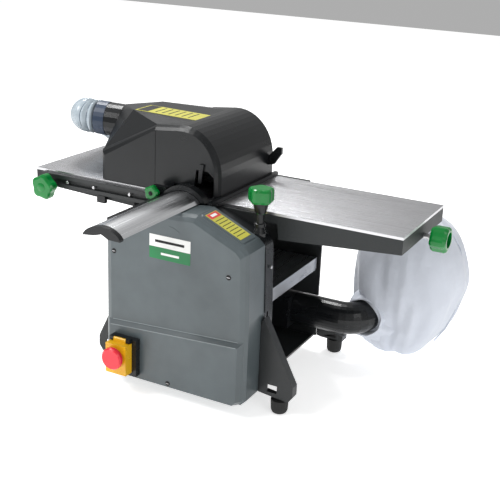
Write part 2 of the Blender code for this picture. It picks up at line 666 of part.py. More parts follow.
def fan():
    y0, y1 = 0.0700, 0.1420
    y, z = OUTLET
    wall = 0.0025
    body = turned("fan_housing", (MOTOR_X, y0, MOTOR_Z), (0, 1, 0), [(0, 0.0520), (y1 - y0, 0.0520)],
                  "black_plastic", 36)
    unite(body, box("duct", (MOTOR_X, y0, z - 0.0320), (0.0950, y1, z + 0.0320)),
          turned("outlet", (0.0800, y, z), (1, 0, 0), [(0, OUTLET_RADIUS), (0.0700, OUTLET_RADIUS)],
                 "steel"),
          turned("inlet", (MOTOR_X, y1 - 0.003, MOTOR_Z), (0, 1, 0), [(0, 0.0340), (0.0160, 0.0340)],
                 "steel"))
    cut(body, turned("inside", (MOTOR_X, y0 + wall, MOTOR_Z), (0, 1, 0),
                     [(0, 0.0495), (y1 - y0 - 2 * wall, 0.0495)], "steel", 36),
        box("duct_inside", (MOTOR_X, y0 + wall, z - 0.0295), (0.0925, y1 - wall, z + 0.0295)),
        turned("outlet_bore", (0.0700, y, z), (1, 0, 0), [(0, 0.0280), (0.1000, 0.0280)], "steel"),
        turned("inlet_bore", (MOTOR_X, y1 - 0.010, MOTOR_Z), (0, 1, 0), [(0, 0.0300), (0.0300, 0.0300)],
               "steel"),
        hole(MOTOR_X, y0 - 0.01, y0 + 0.01, MOTOR_Z, 0.0065, 16))
    disc = turned("fan_impeller", (MOTOR_X, 0.0800, MOTOR_Z), (0, 1, 0),
                  [(0, 0.0460), (0.0030, 0.0460), (0.0032, 0.0120), (0.0380, 0.0100)],
                  "black_plastic", 32, pivot=(MOTOR_X, 0.08, MOTOR_Z))
    for i in range(6):
        t = radians(60 * i + 15)
        u, v = Vector((cos(t), 0, sin(t))), Vector((-sin(t), 0, cos(t)))
        centre = Vector((MOTOR_X, 0, MOTOR_Z))
        corners = [centre + u * a + v * b
                   for a, b in ((0.008, -0.001), (0.044, -0.001), (0.044, 0.001), (0.008, 0.001))]
        unite(disc, loft("blade", [[(p.x, depth, p.z) for p in corners] for depth in (0.0820, 0.1150)]))
    cut(disc, hole(MOTOR_X, 0.07, 0.13, MOTOR_Z, 0.0063, 16))


def elbow():
    y, z = OUTLET
    x1, y1 = ELBOW_END
    line = [(0.1503, y, z), (x1 - ELBOW_BEND, y, z)]
    line += [(px, py, z)
             for px, py in arc((x1 - ELBOW_BEND, y + ELBOW_BEND), (ELBOW_BEND, ELBOW_BEND), -82, -8, 6)]
    line += [(x1, y + ELBOW_BEND, z), (x1, y1, z)]
    pipe("elbow_pipe", line, OUTLET_RADIUS, 0.0285, "black_plastic", 28)
    clamp = [(x1, y1 - 0.0120, z), (x1, y1 - 0.0030, z)]
    pipe("bag_clamp", clamp, OUTLET_RADIUS + 0.0034, OUTLET_RADIUS + 0.0004, "steel", 28)


def dust_bag():
    """A sagging cloth bag: wide low down, closed at the top, open where the elbow enters."""
    x, y = 0.280, 0.225
    levels = [(0.003, 0.55), (0.010, 0.72), (0.030, 0.87), (0.065, 0.96), (0.110, 1.00), (0.160, 1.00),
              (0.205, 0.95), (0.240, 0.84), (0.265, 0.68), (0.282, 0.48), (0.292, 0.24)]
    rings = []
    for z, share in levels:
        lean = 0.012 * (1 - z / 0.15)
        rings.append([(x - lean + 0.112 * share * cos(2 * pi * i / 28),
                       y + 0.100 * share * sin(2 * pi * i / 28), z) for i in range(28)])
    bag = loft("dust_bag", rings, "cloth")
    x1, y1 = ELBOW_END
    z = OUTLET[1]
    return cut(bag, turned("mouth", (x1, 0.09, z), (0, 1, 0), [(0, 0.0365), (y1 + 0.004 - 0.09, 0.0365)],
                           "steel"),
               box("bend_room", (0.14, 0.10, z - 0.0345), (x1 + 0.0345, 0.1530, z + 0.0345)))


# ----------------------------------------------------------- motor, belt and cutter
def motor():
    pivot = (MOTOR_X, 0, MOTOR_Z)
    body = [(0, 0.034), (0.006, 0.042), (0.130, 0.042), (0.131, 0.036), (0.1500, 0.036)]
    housing = turned("motor_housing", (MOTOR_X, -0.0850, MOTOR_Z), (0, 1, 0), body, "black_steel", 32)
    cut(housing, hole(MOTOR_X, -0.10, 0.08, MOTOR_Z, 0.0065, 16))
    turned("motor_shaft", (MOTOR_X, -0.1750, MOTOR_Z), (0, 1, 0), [(0, 0.0060), (0.3000, 0.0060)], "steel",
           16, pivot)
    pulley("motor_pulley", MOTOR_X, MOTOR_Z, MOTOR_PULLEY, 0.0063)


PULLEY_Y = (-0.1700, -0.1530)


def pulley(name, x, z, radius, bore):
    y0, y1 = PULLEY_Y
    rim = radius + 0.0028
    profile = [(0, rim), (0.0020, rim), (0.0022, radius), (y1 - y0 - 0.0022, radius),
               (y1 - y0 - 0.0020, rim), (y1 - y0, rim)]
    made = turned(name, (x, y0, z), (0, 1, 0), profile, "steel", 28, pivot=(x, 0, z))
    return cut(made, hole(x, y0 - 0.01, y1 + 0.01, z, bore, 16))


def drive_belt():
    near, far = 0.0004, 0.0024
    small, large = (MOTOR_X, MOTOR_Z, MOTOR_PULLEY), (CUTTER_X, CUTTER_Z, CUTTER_PULLEY)
    outer = wrap([(x, z, r + far) for x, z, r in (small, large)])
    inner = wrap([(x, z, r + near) for x, z, r in (small, large)])
    belt = slab("drive_belt", outer, -0.1670, -0.1560, "rubber")
    return cut(belt, slab("inside", inner, -0.18, -0.14))


def cutter():
    pivot = (CUTTER_X, 0, CUTTER_Z)
    reach = 0.1035
    profile = [(0, 0.0080), (0.1740 - reach, 0.0080), (0.1742 - reach, 0.0235), (0.1738 + reach, 0.0235),
               (0.1740 + reach, 0.0080), (0.2885, 0.0080), (0.2887, 0.0060), (0.3000, 0.0060)]
    block = turned("cutter_block", (CUTTER_X, -0.1740, CUTTER_Z), (0, 1, 0), profile, "steel", 32, pivot)
    for i, name in enumerate(("knife_1", "knife_2")):
        side = 1 - 2 * i
        low, high = sorted((CUTTER_X - side * 0.0045, CUTTER_X + side * -0.0020))
        tip = CUTTER_Z + side * (CUTTER_CIRCLE - 0.0003)
        root = CUTTER_Z + side * 0.0120
        slot = box("knife_slot", (low - GAP, -0.12, min(root, tip) - (0.003 if side < 0 else GAP)),
                   (high + GAP, 0.12, max(root, tip) + (0.003 if side > 0 else GAP)))
        cut(block, slot)
        box(name, (low, -PLANING_HALF_WIDTH, min(root, tip)), (high, PLANING_HALF_WIDTH, max(root, tip)),
            "steel", pivot)
    pulley("cutter_pulley", CUTTER_X, CUTTER_Z, CUTTER_PULLEY, 0.0083)
    for name, y in (("bearing_front", -0.1145), ("bearing_rear", 0.1045)):
        size = BEARING_RADIUS
        bearing = turned(name, (CUTTER_X, y, CUTTER_Z), (0, 1, 0), [(0, size), (0.0100, size)], "steel", 24)
        cut(bearing, hole(CUTTER_X, y - 0.01, y + 0.02, CUTTER_Z, 0.0083, 16))


def feed():
    for name, side, rear in (("outfeed_roller", 1, 0.1230), ("infeed_roller", -1, 0.1300)):
        x = CUTTER_X + side * ROLLER_REACH
        r = ROLLER_RADIUS
        profile = [(0, 0.0050), (0.0130, 0.0050), (0.0132, r), (0.2208, r), (0.2210, 0.0050),
                   (0.2345, 0.0050),
                   (0.2347, 0.0065), (0.2385, 0.0065), (0.2387, 0.0050), (0.1170 + rear, 0.0050)]
        turned(name, (x, -0.1170, ROLLER_Z), (0, 1, 0), profile, "steel", 16, pivot=(x, 0, ROLLER_Z))
    centres = [(CUTTER_X + side * ROLLER_REACH, ROLLER_Z) for side in (-1, 1)]
    chain = slab("feed_chain", wrap([(x, z, 0.0086) for x, z in centres], 20), 0.1178, 0.1212, "steel")
    cut(chain, slab("inside", wrap([(x, z, 0.0068) for x, z in centres], 20), 0.11, 0.13))
    gearbox = box("feed_gearbox", (-0.0830, 0.1238, 0.2950), (-0.0050, 0.1335, 0.3330), "cast_black")
    cut(gearbox, hole(CUTTER_X, 0.11, 0.1290, CUTTER_Z, 0.0068, 16),
        hole(CUTTER_X - ROLLER_REACH, 0.11, 0.1310, ROLLER_Z, 0.0054, 16))
    x, z = CUTTER_X - 0.078, 0.3140
    fingers = turned("kickback_fingers", (x, -0.1080, z), (0, 1, 0), [(0, 0.0035), (0.2160, 0.0035)],
                     "steel", 12, pivot=(x, 0, z))
    for i in range(12):
        y = -0.0935 + i * 0.0170
        blade = [(x - 0.0025, z + 0.001), (x - 0.0025, z - 0.010), (x + 0.0105, 0.2985),
                 (x + 0.0050, z + 0.001)]
        unite(fingers, slab("finger", blade, y - 0.0025, y + 0.0025))


# ------------------------------------------------------------- thicknesser table lift
def thicknesser():
    top, low = LIFT_TABLE_TOP, LIFT_TABLE_TOP - 0.025
    half = PLANING_HALF_WIDTH
    bed = box("thicknesser_table", (-0.135, -half, low), (0.135, half, top), "aluminium")
    for i in range(3):
        x0 = -0.131 + i * 0.088
        cut(bed, box("pocket", (x0, -half + 0.004, low - 0.01), (x0 + 0.086, half - 0.004, top - 0.006)))
    for (x, y), side in ((CRANK, -1), (LIFT, 1)):
        ends = sorted((side * (half - 0.002), y + side * 0.0085))
        unite(bed, box("lug", (x - 0.0065, ends[0], low + 0.002), (x + 0.0065, ends[1], top - 0.005)))
        cut(bed, turned("nut", (x, y, low - 0.01), (0, 0, 1), [(0, 0.0053), (0.04, 0.0053)], "steel", 16))
    return bed


def lift_drive():
    sprocket = [(0.0030, 0.0050), (0.0032, 0.0100), (0.0078, 0.0100), (0.0080, 0.0050)]
    for name, (x, y), top in (("crank_screw", CRANK, 0.3860), ("lift_screw", LIFT, 0.3050)):
        z = 0.0430
        turned(name, (x, y, z), (0, 0, 1), [(0, 0.0050), *sprocket, (top - z, 0.0050)], "steel", 16,
               pivot=(x, y, z))
    loops = []
    for reach in (0.0128, 0.0103):
        loops.append(wrap([(x, y, reach) for x, y in (CRANK, LIFT)], 20))
    outer, inner = loops
    chain = loft("lift_chain", [[(x, y, z) for x, y in outer] for z in (0.0465, 0.0505)], "steel")
    cut(chain, loft("inside", [[(x, y, z) for x, y in inner] for z in (0.04, 0.06)]))
    x, y = CRANK
    knob = star_knob("crank_knob", (x, y, 0.3525), (0, 0, 1), 0.0250, 0.0215, neck=(0.0190, 0.0085))
    cut(knob, turned("socket", (x, y, 0.34), (0, 0, 1), [(0, 0.0053), (0.0465, 0.0053)], "steel", 16))


base_plate()
side_plate_front()
side_plate_rear()
rear_cover()
legs_and_feet()
inner_housing()
belt_cover()
switch()
tables()
knobs()
guard()
dust_hood()
hose()
fan()
elbow()
dust_bag()
motor()
drive_belt()
cutter()
feed()
thicknesser()
lift_drive()
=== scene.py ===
import json

from math import cos, pi, radians, sin

import bmesh
import bpy
from mathutils import Matrix, Vector, noise


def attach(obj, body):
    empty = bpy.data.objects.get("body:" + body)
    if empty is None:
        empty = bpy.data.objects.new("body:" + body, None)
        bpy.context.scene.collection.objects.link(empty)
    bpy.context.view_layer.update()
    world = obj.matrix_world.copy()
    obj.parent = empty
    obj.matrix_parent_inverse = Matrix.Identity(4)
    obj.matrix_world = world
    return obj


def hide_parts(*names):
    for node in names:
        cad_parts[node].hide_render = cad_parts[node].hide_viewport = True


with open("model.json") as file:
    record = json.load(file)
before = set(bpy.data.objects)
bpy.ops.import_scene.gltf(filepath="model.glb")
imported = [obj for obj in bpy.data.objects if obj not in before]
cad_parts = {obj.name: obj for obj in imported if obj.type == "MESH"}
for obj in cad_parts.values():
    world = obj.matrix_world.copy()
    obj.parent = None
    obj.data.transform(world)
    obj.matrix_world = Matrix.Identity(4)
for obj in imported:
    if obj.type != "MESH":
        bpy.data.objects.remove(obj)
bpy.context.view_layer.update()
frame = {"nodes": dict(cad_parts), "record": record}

# The CAD was drawn in the machine's own frame: x = 0 at the middle of the tables, y = 0 on
# their centreline, z = 0 on the floor. Everything below is too, and is moved by SHIFT.
SHIFT = Vector((-0.0217, 0.0255, 0.0))


def row(x, y, z):
    return Vector((x, y, z)) + SHIFT


# ----------------------------------------------------------------------------- camera
CAMERA_PLACE = (0.79808, -1.49145, 0.8287)
CAMERA_TURN = (26.9, 19.66, -2.48)  # yaw, downward pitch and roll in degrees
LENS_MM = 68.39
SENSOR_MM = 36
NEAR_LIMIT = 0.05


def make_camera():
    yaw, pitch, roll = (radians(angle) for angle in CAMERA_TURN)
    forward = Vector((-sin(yaw) * cos(pitch), cos(yaw) * cos(pitch), -sin(pitch)))
    level = Vector((cos(yaw), sin(yaw), 0))
    below = forward.cross(level)
    right = level * cos(roll) + below * sin(roll)
    up = level * sin(roll) - below * cos(roll)
    turn = Matrix((right, up, -forward)).transposed().to_4x4()
    data = bpy.data.cameras.new("camera")
    data.lens = LENS_MM
    data.sensor_width = SENSOR_MM
    data.clip_start = NEAR_LIMIT
    camera = bpy.data.objects.new("camera", data)
    bpy.context.scene.collection.objects.link(camera)
    camera.matrix_world = Matrix.Translation(row(*CAMERA_PLACE)) @ turn
    bpy.context.scene.camera = camera


make_camera()


# -------------------------------------------------------------------------- materials
BANDS_PER_UNIT = 3.18  # of a wave texture at scale 1


class Nodes:
    """Short names for building one material's node tree."""

    def __init__(self, name, colour, roughness, **inputs):
        self.material = bpy.data.materials.new(name)
        self.material.use_nodes = True
        self.tree = self.material.node_tree
        self.shader = self.tree.nodes["Principled BSDF"]
        self.set("Base Color", (*colour, 1))
        self.set("Roughness", roughness)
        for key, value in inputs.items():
            self.set(key.replace("_", " "), value)
        self.place = self.tree.nodes.new("ShaderNodeTexCoord").outputs["Object"]

    def set(self, socket, value):
        self.shader.inputs[socket].default_value = value

    def add(self, kind, **settings):
        node = self.tree.nodes.new(kind)
        for key, value in settings.items():
            setattr(node, key, value)
        return node

    def link(self, a, b):
        self.tree.links.new(a, b)

    def mapped(self, scale, rotation=(0, 0, 0)):
        node = self.add("ShaderNodeMapping")
        node.inputs["Scale"].default_value = scale
        node.inputs["Rotation"].default_value = rotation
        self.link(self.place, node.inputs["Vector"])
        return node.outputs["Vector"]

    def noise(self, scale, detail=4, vector=None, roughness=0.5):
        node = self.add("ShaderNodeTexNoise")
        node.inputs["Scale"].default_value = scale
        node.inputs["Detail"].default_value = detail
        node.inputs["Roughness"].default_value = roughness
        self.link(vector or self.place, node.inputs["Vector"])
        return node.outputs["Fac"]

    def wave(self, scale, vector=None, direction="X", distortion=0.0, profile="SIN"):
        node = self.add("ShaderNodeTexWave", wave_type="BANDS", bands_direction=direction,
                        wave_profile=profile)
        node.inputs["Scale"].default_value = scale
        node.inputs["Distortion"].default_value = distortion
        self.link(vector or self.place, node.inputs["Vector"])
        return node.outputs["Fac"]

    def ramp(self, value, stops):
        node = self.add("ShaderNodeValToRGB")
        points = node.color_ramp.elements
        while len(points) < len(stops):
            points.new(0.5)
        for point, (where, colour) in zip(points, stops):
            point.position = where
            point.color = (*colour, 1)
        self.link(value, node.inputs["Fac"])
        return node.outputs["Color"]

    def between(self, value, low, high):
        node = self.add("ShaderNodeMapRange")
        node.inputs["To Min"].default_value = low
        node.inputs["To Max"].default_value = high
        self.link(value, node.inputs["Value"])
        return node.outputs["Result"]

    def bump(self, height, distance, strength=1.0):
        node = self.add("ShaderNodeBump")
        node.inputs["Distance"].default_value = distance
        node.inputs["Strength"].default_value = strength
        self.link(height, node.inputs["Height"])
        previous = self.shader.inputs["Normal"].links
        if previous:
            self.link(previous[0].from_socket, node.inputs["Normal"])
        self.link(node.outputs["Normal"], self.shader.inputs["Normal"])

    def colour(self, value):
        self.link(value, self.shader.inputs["Base Color"])

    def roughness(self, value):
        self.link(value, self.shader.inputs["Roughness"])


def tint(colour, factor):
    return tuple(min(1.0, c * factor) for c in colour)


def moulded(name, colour, roughness=0.35, grain=900, depth=0.00010, **inputs):
    """Moulded plastic: fine spark grain, faint uneven gloss and colour."""
    made = Nodes(name, colour, roughness, **inputs)
    made.bump(made.noise(grain, 3), depth, 0.6)
    patch = made.noise(9, 3)
    made.roughness(made.between(patch, roughness - 0.07, roughness + 0.09))
    made.colour(made.ramp(made.noise(30, 4), [(0.25, tint(colour, 0.90)), (0.75, tint(colour, 1.10))]))
    return made.material


def painted(name, colour, roughness=0.45, grain=450, depth=0.00015):
    """Powder coat: orange peel, and scuffed patches that are a little brighter."""
    made = Nodes(name, colour, roughness)
    made.bump(made.noise(grain, 2), depth, 0.7)
    scuff = made.noise(60, 8, roughness=0.7)
    made.colour(made.ramp(scuff, [(0.30, tint(colour, 0.85)), (0.62, colour), (0.80, tint(colour, 1.5))]))
    made.roughness(made.between(scuff, roughness - 0.08, roughness + 0.12))
    return made.material


def ground_metal(name, colour, roughness, stretch, metallic=1.0, ribs=0.0):
    """Metal with fine machining lines along one direction; ribs spaces coarser ones, in metres."""
    made = Nodes(name, colour, roughness, Metallic=metallic)
    lines = made.noise(1.0, 6, made.mapped(stretch), roughness=0.65)
    made.roughness(made.between(lines, roughness - 0.10, roughness + 0.16))
    made.colour(made.ramp(lines, [(0.30, tint(colour, 0.86)), (0.70, tint(colour, 1.06))]))
    made.bump(lines, 0.00006, 0.5)
    if ribs:
        made.bump(made.wave(1 / (ribs * BANDS_PER_UNIT), direction="Y"), 0.00025, 0.8)
    return made.material


def clear_plastic():
    colour = (0.52, 0.60, 0.66)
    made = Nodes("clear_hose_skin", colour, 0.16, Alpha=1.0, IOR=1.45)
    made.set("Transmission Weight", 0.30)
    made.set("Specular IOR Level", 0.7)
    haze = made.noise(40, 4)
    made.roughness(made.between(haze, 0.10, 0.30))
    made.colour(made.ramp(haze, [(0.3, tint(colour, 0.9)), (0.7, tint(colour, 1.15))]))
    return made.material


def woven(name, colour, thread=0.0016):
    """Plain weave cloth with slubs and faint soiling."""
    made = Nodes(name, colour, 0.88)
    made.set("Sheen Weight", 0.35)
    made.set("Sheen Roughness", 0.5)
    warp = made.wave(1 / (thread * BANDS_PER_UNIT), direction="X", distortion=0.6)
    weft = made.wave(1 / (thread * BANDS_PER_UNIT), direction="Z", distortion=0.6)
    made.bump(warp, 0.00025, 0.35)
    made.bump(weft, 0.00025, 0.35)
    made.bump(made.noise(120, 5), 0.0005, 0.35)
    made.bump(made.noise(13, 5), 0.0090, 0.65)
    made.bump(made.noise(34, 4), 0.0030, 0.50)
    made.colour(made.ramp(made.noise(7, 6),
                          [(0.25, tint(colour, 0.90)), (0.65, colour), (0.9, tint(colour, 1.05))]))
    return made.material


COVER_GREY = (0.078, 0.096, 0.103)
BLACK = (0.007, 0.008, 0.009)
SKINS = {
    "black_steel": painted("black_steel_skin", (0.014, 0.016, 0.017), 0.40),
    "black_plastic": moulded("black_plastic_skin", BLACK, 0.27, Specular_IOR_Level=0.38),
    "grey_plastic": moulded("cover_skin", COVER_GREY, 0.30, 1100, 0.00012),
    "cast_black": painted("cast_black_skin", (0.014, 0.017, 0.018), 0.52, 260, 0.0004),
    "aluminium": ground_metal("aluminium_skin", (0.74, 0.75, 0.77), 0.27, (700, 6, 60)),
    "steel": ground_metal("steel_skin", (0.52, 0.52, 0.53), 0.30, (900, 20, 900)),
    "green_plastic": moulded("green_skin", (0.0, 0.180, 0.028), 0.20, 700, 0.00006),
    "yellow_plastic": moulded("yellow_skin", (0.76, 0.42, 0.010), 0.28, 700, 0.00006),
    "red_plastic": moulded("red_skin", (0.74, 0.022, 0.040), 0.22, 700, 0.00005),
    "rubber": moulded("rubber_skin", (0.012, 0.012, 0.012), 0.72, 500, 0.0002),
    "clear_hose": clear_plastic(),
    "navy_plastic": moulded("cuff_skin", (0.020, 0.038, 0.075), 0.38),
    "cloth": woven("bag_cloth", (0.67, 0.705, 0.78)),
}
TABLE_SKIN = ground_metal("table_skin", (0.64, 0.64, 0.66), 0.26, (3, 900, 60), ribs=0.0024)
GUARD_SKIN = ground_metal("guard_skin", (0.90, 0.91, 0.93), 0.20, (700, 5, 60))
WHITE_LABEL = moulded("label_white", (0.80, 0.80, 0.78), 0.35, 600, 0.00003)
GREEN_LABEL = moulded("label_green", (0.0, 0.17, 0.045), 0.35, 600, 0.00003)
YELLOW_LABEL = moulded("label_yellow", (0.50, 0.47, 0.06), 0.35, 600, 0.00003)
RED_LABEL = moulded("label_red", (0.62, 0.05, 0.05), 0.35, 600, 0.00003)
# painted shade: the dark rings in the hose's troughs stand in for the shade between its ribs
TROUGH_SHADE = moulded("hose_trough_painted_shade", (0.060, 0.085, 0.120), 0.30)
# painted highlight: the cover's ridges are a lighter grey than the cover, standing in for the light their
# edges catch
RIDGE_HIGHLIGHT = moulded("cover_ridge_painted_highlight", (0.24, 0.27, 0.28), 0.22)
DARK = moulded("recess_dark", (0.004, 0.004, 0.005), 0.7)
EDGE_WIDTH = 0.0008
COVER_EDGE_WIDTH = 0.0014


def dress_nodes():
    """Every CAD node takes the skin of its record slot, but for the table tops and the guard."""
    slots = {s["node"]: s["material_slot"] for s in frame["record"]["subparts"]}
    for name, node in frame["nodes"].items():
        skin = SKINS[slots[name]]
        if name.endswith("_table_top"):
            skin = TABLE_SKIN
        if name == "guard_bridge":
            skin = GUARD_SKIN
        for place in node.material_slots:
            place.material = skin
        if slots[name] in ("clear_hose", "cloth", "rubber", "steel") or name.endswith("_knob"):
            continue
        node.data.shade_smooth()
        node.data.set_sharp_from_angle(angle=radians(26))
        edge = node.modifiers.new("edge", "BEVEL")
        edge.width = COVER_EDGE_WIDTH if slots[name] == "grey_plastic" else EDGE_WIDTH
        edge.segments = 2
        edge.limit_method = "ANGLE"
        edge.angle_limit = radians(38)


dress_nodes()


# ------------------------------------------------------------------------ piece makers
def piece(name, points, faces, skin, body, smooth=35):
    """A mesh piece given in machine coordinates, riding on a body."""
    mesh = bpy.data.meshes.new(name)
    mesh.from_pydata([Vector(p) + SHIFT for p in points], [], faces)
    bm = bmesh.new()
    bm.from_mesh(mesh)
    bmesh.ops.remove_doubles(bm, verts=bm.verts, dist=1e-6)
    bmesh.ops.recalc_face_normals(bm, faces=bm.faces)
    bm.to_mesh(mesh)
    bm.free()
    mesh.shade_smooth()
    mesh.set_sharp_from_angle(angle=radians(smooth))
    mesh.materials.append(skin)
    made = bpy.data.objects.new(name, mesh)
    bpy.context.scene.collection.objects.link(made)
    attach(made, body)
    return made


def lofted(name, rings, skin, body, caps=True, closed=False, smooth=35):
    count = len(rings[0])
    points = [p for ring in rings for p in ring]
    faces = []
    for i in range(len(rings) if closed else len(rings) - 1):
        a, b = i * count, (i + 1) % len(rings) * count
        for j in range(count):
            k = (j + 1) % count
            faces.append((a + j, a + k, b + k, b + j))
    if caps and not closed:
        faces.append(tuple(range(count)))
        faces.append(tuple(range(len(points) - count, len(points))))
    return piece(name, points, faces, skin, body, smooth)


def smooth_line(points, steps):
    line = []
    ends = [points[0], *points, points[-1]]
    for i in range(len(points) - 1):
        a, b, c, d = (Vector(p) for p in ends[i : i + 4])
        for s in range(steps):
            t = s / steps
            line.append(
                0.5 * (2 * b + (c - a) * t + (2 * a - 5 * b + 4 * c - d) * t**2
                       + (3 * b - a - 3 * c + d) * t**3)
            )
    return [*line, Vector(points[-1])]


# ------------------------------------------------------------------------------- hose
HOSE_RADIUS = 0.0325
HOSE_ROUTE = (
    (-0.2995, -0.0079, 0.4399),
    (-0.3103, -0.0101, 0.4405),
    (-0.3225, -0.0075, 0.4405),
    (-0.3335, 0.0100, 0.4375),
    (-0.3375, 0.0360, 0.4305),
    (-0.3380, 0.0650, 0.4200),
    (-0.3370, 0.1000, 0.4030),
    (-0.3360, 0.1300, 0.3800),
    (-0.3360, 0.1490, 0.3450),
    (-0.3350, 0.1620, 0.3050),
    (-0.3310, 0.1770, 0.2600),
    (-0.3180, 0.1950, 0.2150),
    (-0.2940, 0.2130, 0.1770),
    (-0.2550, 0.2320, 0.1440),
    (-0.2020, 0.2520, 0.1190),
    (-0.1420, 0.2690, 0.1040),
    (-0.0900, 0.2730, 0.0980),
    (-0.0500, 0.2620, 0.0970),
    (-0.0270, 0.2420, 0.0970),
    (-0.0200, 0.2230, 0.0970),
    (-0.0200, 0.2080, 0.0970),
    (-0.0200, 0.1920, 0.0970),
)
ROUTE_STEPS = 8  # between two points of the route
HOSE_SIDES = 40
RIB_PITCH = 0.0085
RIB_DEPTH = 0.0050
RIB_SHAPE = (0.0, 0.0038, 0.0050, 0.0030)  # the wall's height at even steps along one rib
TROUGH_DEPTH = 0.0044
TROUGH_HALF_WIDTH = 0.0009
TROUGH_SIDES = 32


def even(line, step):
    """The same line with points an even step apart, and its length."""
    out = [line[0].copy()]
    left = step
    total = 0.0
    for a, b in zip(line, line[1:]):
        span = (b - a).length
        total += span
        at = left
        while at <= span:
            out.append(a.lerp(b, at / span))
            at += step
        left = at - span
    if (out[-1] - line[-1]).length < step * 0.5:
        out.pop()
    return [*out, line[-1].copy()], total


def circle(centre, side, up, radius, sides):
    turns = [2 * pi * i / sides for i in range(sides)]
    return [centre + (side * cos(t) + up * sin(t)) * radius for t in turns]


def sweep_rings(line, radius_at, sides):
    """Rings square to a line, turning with it and not twisting."""
    rings = []
    side = None
    for i, p in enumerate(line):
        along = (line[min(i + 1, len(line) - 1)] - line[max(i - 1, 0)]).normalized()
        if side is None:
            side = along.cross(Vector((0, 0, 1))).normalized()
        side = (side - along * side.dot(along)).normalized()
        up = along.cross(side)
        rings.append(circle(p, side, up, radius_at(i), sides))
    return rings


def hose_trough_shade(line):
    """Rings of painted shade in the troughs between the ribs, as one piece: dark bands that stand in for
    the shade there.
    """
    per_rib = len(RIB_SHAPE)
    points, faces = [], []
    for i in range(per_rib, len(line) - 2, per_rib):
        along = (line[i + 1] - line[i - 1]).normalized()
        ends = [line[i] - along * TROUGH_HALF_WIDTH, line[i] + along * TROUGH_HALF_WIDTH]
        first, second = sweep_rings(ends, lambda end: HOSE_RADIUS - TROUGH_DEPTH, TROUGH_SIDES)
        a = len(points)
        b = a + TROUGH_SIDES
        points += [*first, *second]
        for j in range(TROUGH_SIDES):
            k = (j + 1) % TROUGH_SIDES
            faces.append((a + j, a + k, b + k, b + j))
        faces += [tuple(range(a, b)), tuple(range(b, b + TROUGH_SIDES))]
    piece("hose_trough_shade", points, faces, TROUGH_SHADE, "chassis")


def dust_hose():
    """A ribbed tube: each rib is a crest and a trough along the route."""
    per_rib = len(RIB_SHAPE)
    root = HOSE_RADIUS - RIB_DEPTH
    line, length = even(smooth_line(HOSE_ROUTE, ROUTE_STEPS), RIB_PITCH / per_rib)
    rings = sweep_rings(line, lambda i: root + RIB_SHAPE[i % per_rib], HOSE_SIDES)
    hose = lofted("ribbed_hose", rings, SKINS["clear_hose"], "chassis", smooth=50)
    hose_trough_shade(line)
    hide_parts("dust_hose")


dust_hose()


# -------------------------------------------------------------------------------- bag
BAG_LEVELS = (  # height, left, right
    (0.0030, 0.240, 0.312), (0.0065, 0.222, 0.325), (0.015, 0.204, 0.336), (0.034, 0.192, 0.352),
    (0.064, 0.184, 0.371), (0.098, 0.180, 0.385), (0.130, 0.177, 0.394), (0.160, 0.175, 0.3975),
    (0.200, 0.178, 0.392), (0.236, 0.187, 0.383), (0.260, 0.200, 0.367), (0.275, 0.218, 0.351),
    (0.2855, 0.240, 0.336), (0.2910, 0.266, 0.316),
)


BAG_SIDES = 96
BAG_Y = 0.225
BAG_DEPTH = 0.100
BAG_HALF_WIDTH = 0.1112
CORNER_POWER = 2.5  # above 2, a level's outline is squarer than an ellipse
CORNER_SHARE = 0.7
FOLD_HEIGHT = 0.0100
CREASE_HEIGHT = 0.0110
TUCK_HEIGHT = 0.0030
TUCK_SINK = 0.0022
SEAM_HEIGHT = 0.0018
SEAM_PLACE = -0.35
CLOTH_SINK = 0.003

NECK_X = 0.2275
NECK_Z = 0.090
NECK_SIDES = 72
NECK_PROFILE = (  # y, sideways shift, radius, ripple
    (0.1500, 0.0010, 0.0352, 0.0), (0.1400, 0.0, 0.0350, 0.0), (0.1330, 0.0, 0.0352, 0.0),
    (0.1305, 0.0, 0.0375, 0.0004), (0.1325, 0.0, 0.0400, 0.0008), (0.1360, 0.0, 0.0408, 0.0014),
    (0.1390, 0.0, 0.0412, 0.0018), (0.1440, 0.0040, 0.0450, 0.0026), (0.1520, 0.0100, 0.0500, 0.0030),
    (0.1640, 0.0190, 0.0560, 0.0026), (0.1800, 0.0300, 0.0620, 0.0016), (0.2000, 0.0420, 0.0640, 0.0),
    (0.2000, 0.0420, 0.0560, 0.0), (0.1750, 0.0060, 0.0400, 0.0),
)
PIPED_LEVELS = slice(3, 12)
PIPING_RADIUS = 0.0017
PIPING_INSET = 0.0035


def cloth_relief(c, w, z):
    """How far folds, creases, tucks and a seam stand out at a height, in the direction (c, w)."""
    slant = z * 7 + c * 1.3
    folds = noise.noise(Vector((c * 1.7, w * 1.7, slant))) * FOLD_HEIGHT
    crease = noise.noise(Vector((c * 3.4 + slant * 0.6, w * 3.4, z * 16 + 7)))
    folds += (0.35 - abs(crease)) * CREASE_HEIGHT
    tuck = noise.noise(Vector((c * 8.0 + z * 20, w * 8.0, z * 30 + 3)))
    folds += (0.3 - abs(tuck)) * TUCK_HEIGHT - TUCK_SINK
    seam = max(0.0, 1 - abs(c - SEAM_PLACE) * 16) * SEAM_HEIGHT
    return folds + seam - CLOTH_SINK


